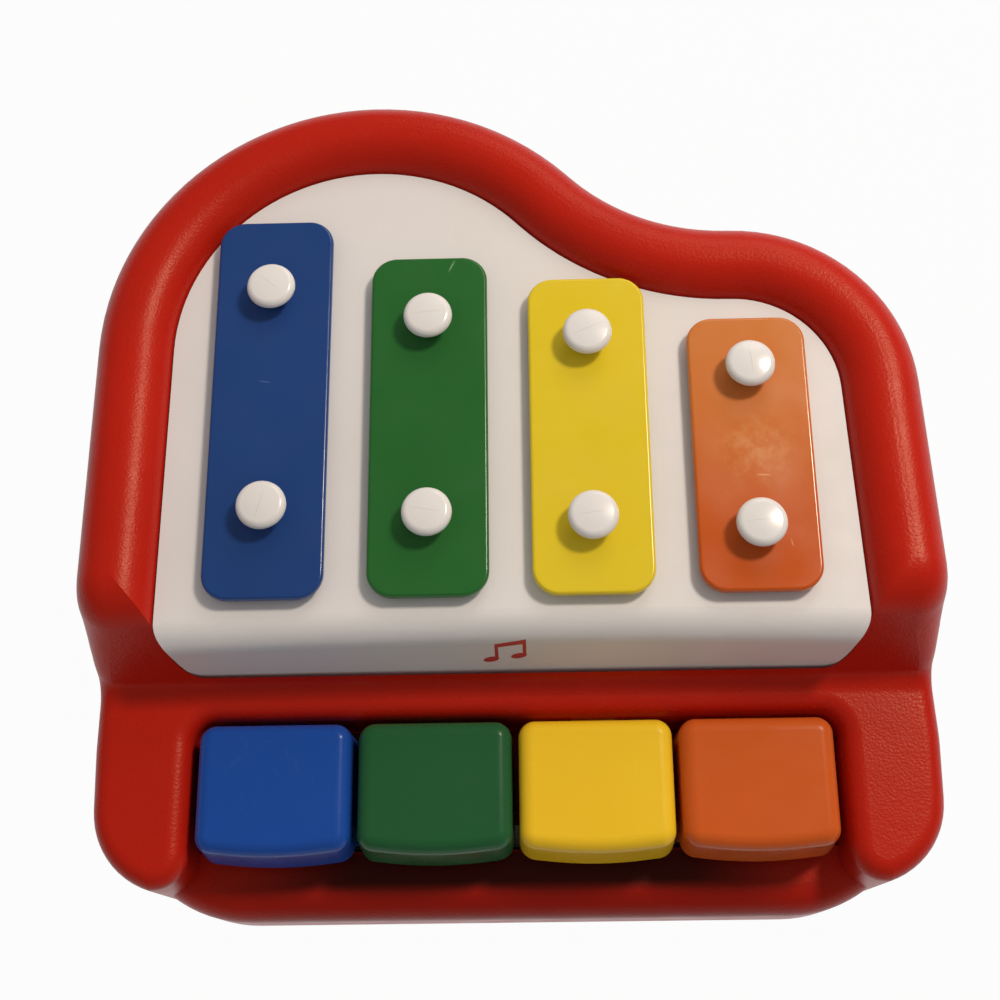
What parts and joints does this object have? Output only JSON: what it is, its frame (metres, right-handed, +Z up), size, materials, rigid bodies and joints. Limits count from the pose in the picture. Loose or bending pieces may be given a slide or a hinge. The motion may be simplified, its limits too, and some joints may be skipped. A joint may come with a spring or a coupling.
{
  "type": "toy piano",
  "caption": "Toddler's toy piano with a grand-piano outline: chunky coloured keys swing hammers up against painted metal bars pegged on a pale deck.",
  "frame": {"origin": "middle of the footprint, on the surface that the toy stands on", "axes": "+X along the keyboard from the lowest key to the highest, -Y towards the player, +Z up"},
  "size_m": [0.2286, 0.2257, 0.0797],
  "materials": {
    "shell_red": "satin moulded",
    "deck_white": "fine satin grain",
    "peg_white": "gloss",
    "action_nylon": "plain",
    "base_red": "plain moulded",
    "steel": "drawn",
    "spring_steel": "rolled",
    "felt": "felt",
    "bar_blue": "semi-gloss enamel",
    "key_blue": "gloss moulded",
    "bar_green": "semi-gloss enamel",
    "key_green": "gloss moulded",
    "bar_yellow": "semi-gloss enamel",
    "key_yellow": "gloss moulded",
    "bar_orange": "semi-gloss enamel",
    "key_orange": "gloss moulded"
  },
  "bodies": {
    "case": {"housing": "shell_red", "base_plate": "base_red", "deck": "deck_white", "bar_pegs": "peg_white", "bar_cushions": "felt", "key_shaft": "steel", "hammer_shaft": "steel", "key_stop_strip": "felt", "base_screws": "steel", "deck_screws": "steel", "spring_screws": "steel", "tone_bar_blue": "bar_blue", "key_spring_blue": "spring_steel", "tone_bar_green": "bar_green", "key_spring_green": "spring_steel", "tone_bar_yellow": "bar_yellow", "key_spring_yellow": "spring_steel", "tone_bar_orange": "bar_orange", "key_spring_orange": "spring_steel"},
    "blue_key": {"key_blue": "key_blue"},
    "blue_hammer": {"hammer_blue": "action_nylon", "hammer_tip_blue": "action_nylon"},
    "green_key": {"key_green": "key_green"},
    "green_hammer": {"hammer_green": "action_nylon", "hammer_tip_green": "action_nylon"},
    "yellow_key": {"key_yellow": "key_yellow"},
    "yellow_hammer": {"hammer_yellow": "action_nylon", "hammer_tip_yellow": "action_nylon"},
    "orange_key": {"key_orange": "key_orange"},
    "orange_hammer": {"hammer_orange": "action_nylon", "hammer_tip_orange": "action_nylon"}
  },
  "joints": [
    {"name": "blue_key_press", "type": "hinge", "parent": "case", "child": "blue_key", "pos_m": [0, -0.05265, 0.027], "axis": [1, 0, 0], "range_deg": [0, 7], "stiffness_Nm_per_rad": 0.15, "springref_deg": -5.73, "deforming": ["key_spring_blue"]},
    {"name": "blue_hammer_swing", "type": "hinge", "parent": "case", "child": "blue_hammer", "pos_m": [0, -0.03865, 0.046], "axis": [1, 0, 0], "range_deg": [0, 14]},
    {"name": "green_key_press", "type": "hinge", "parent": "case", "child": "green_key", "pos_m": [0, -0.05265, 0.027], "axis": [1, 0, 0], "range_deg": [0, 7], "stiffness_Nm_per_rad": 0.15, "springref_deg": -5.73, "deforming": ["key_spring_green"]},
    {"name": "green_hammer_swing", "type": "hinge", "parent": "case", "child": "green_hammer", "pos_m": [0, -0.03865, 0.046], "axis": [1, 0, 0], "range_deg": [0, 14]},
    {"name": "yellow_key_press", "type": "hinge", "parent": "case", "child": "yellow_key", "pos_m": [0, -0.05265, 0.027], "axis": [1, 0, 0], "range_deg": [0, 7], "stiffness_Nm_per_rad": 0.15, "springref_deg": -5.73, "deforming": ["key_spring_yellow"]},
    {"name": "yellow_hammer_swing", "type": "hinge", "parent": "case", "child": "yellow_hammer", "pos_m": [0, -0.03865, 0.046], "axis": [1, 0, 0], "range_deg": [0, 14]},
    {"name": "orange_key_press", "type": "hinge", "parent": "case", "child": "orange_key", "pos_m": [0, -0.05265, 0.027], "axis": [1, 0, 0], "range_deg": [0, 7], "stiffness_Nm_per_rad": 0.15, "springref_deg": -5.73, "deforming": ["key_spring_orange"]},
    {"name": "orange_hammer_swing", "type": "hinge", "parent": "case", "child": "orange_hammer", "pos_m": [0, -0.03865, 0.046], "axis": [1, 0, 0], "range_deg": [0, 14]}
  ],
  "couplings": [
    {"joint": "blue_hammer_swing", "follows": "blue_key_press", "ratio": 2},
    {"joint": "green_hammer_swing", "follows": "green_key_press", "ratio": 2},
    {"joint": "yellow_hammer_swing", "follows": "yellow_key_press", "ratio": 2},
    {"joint": "orange_hammer_swing", "follows": "orange_key_press", "ratio": 2}
  ]
}
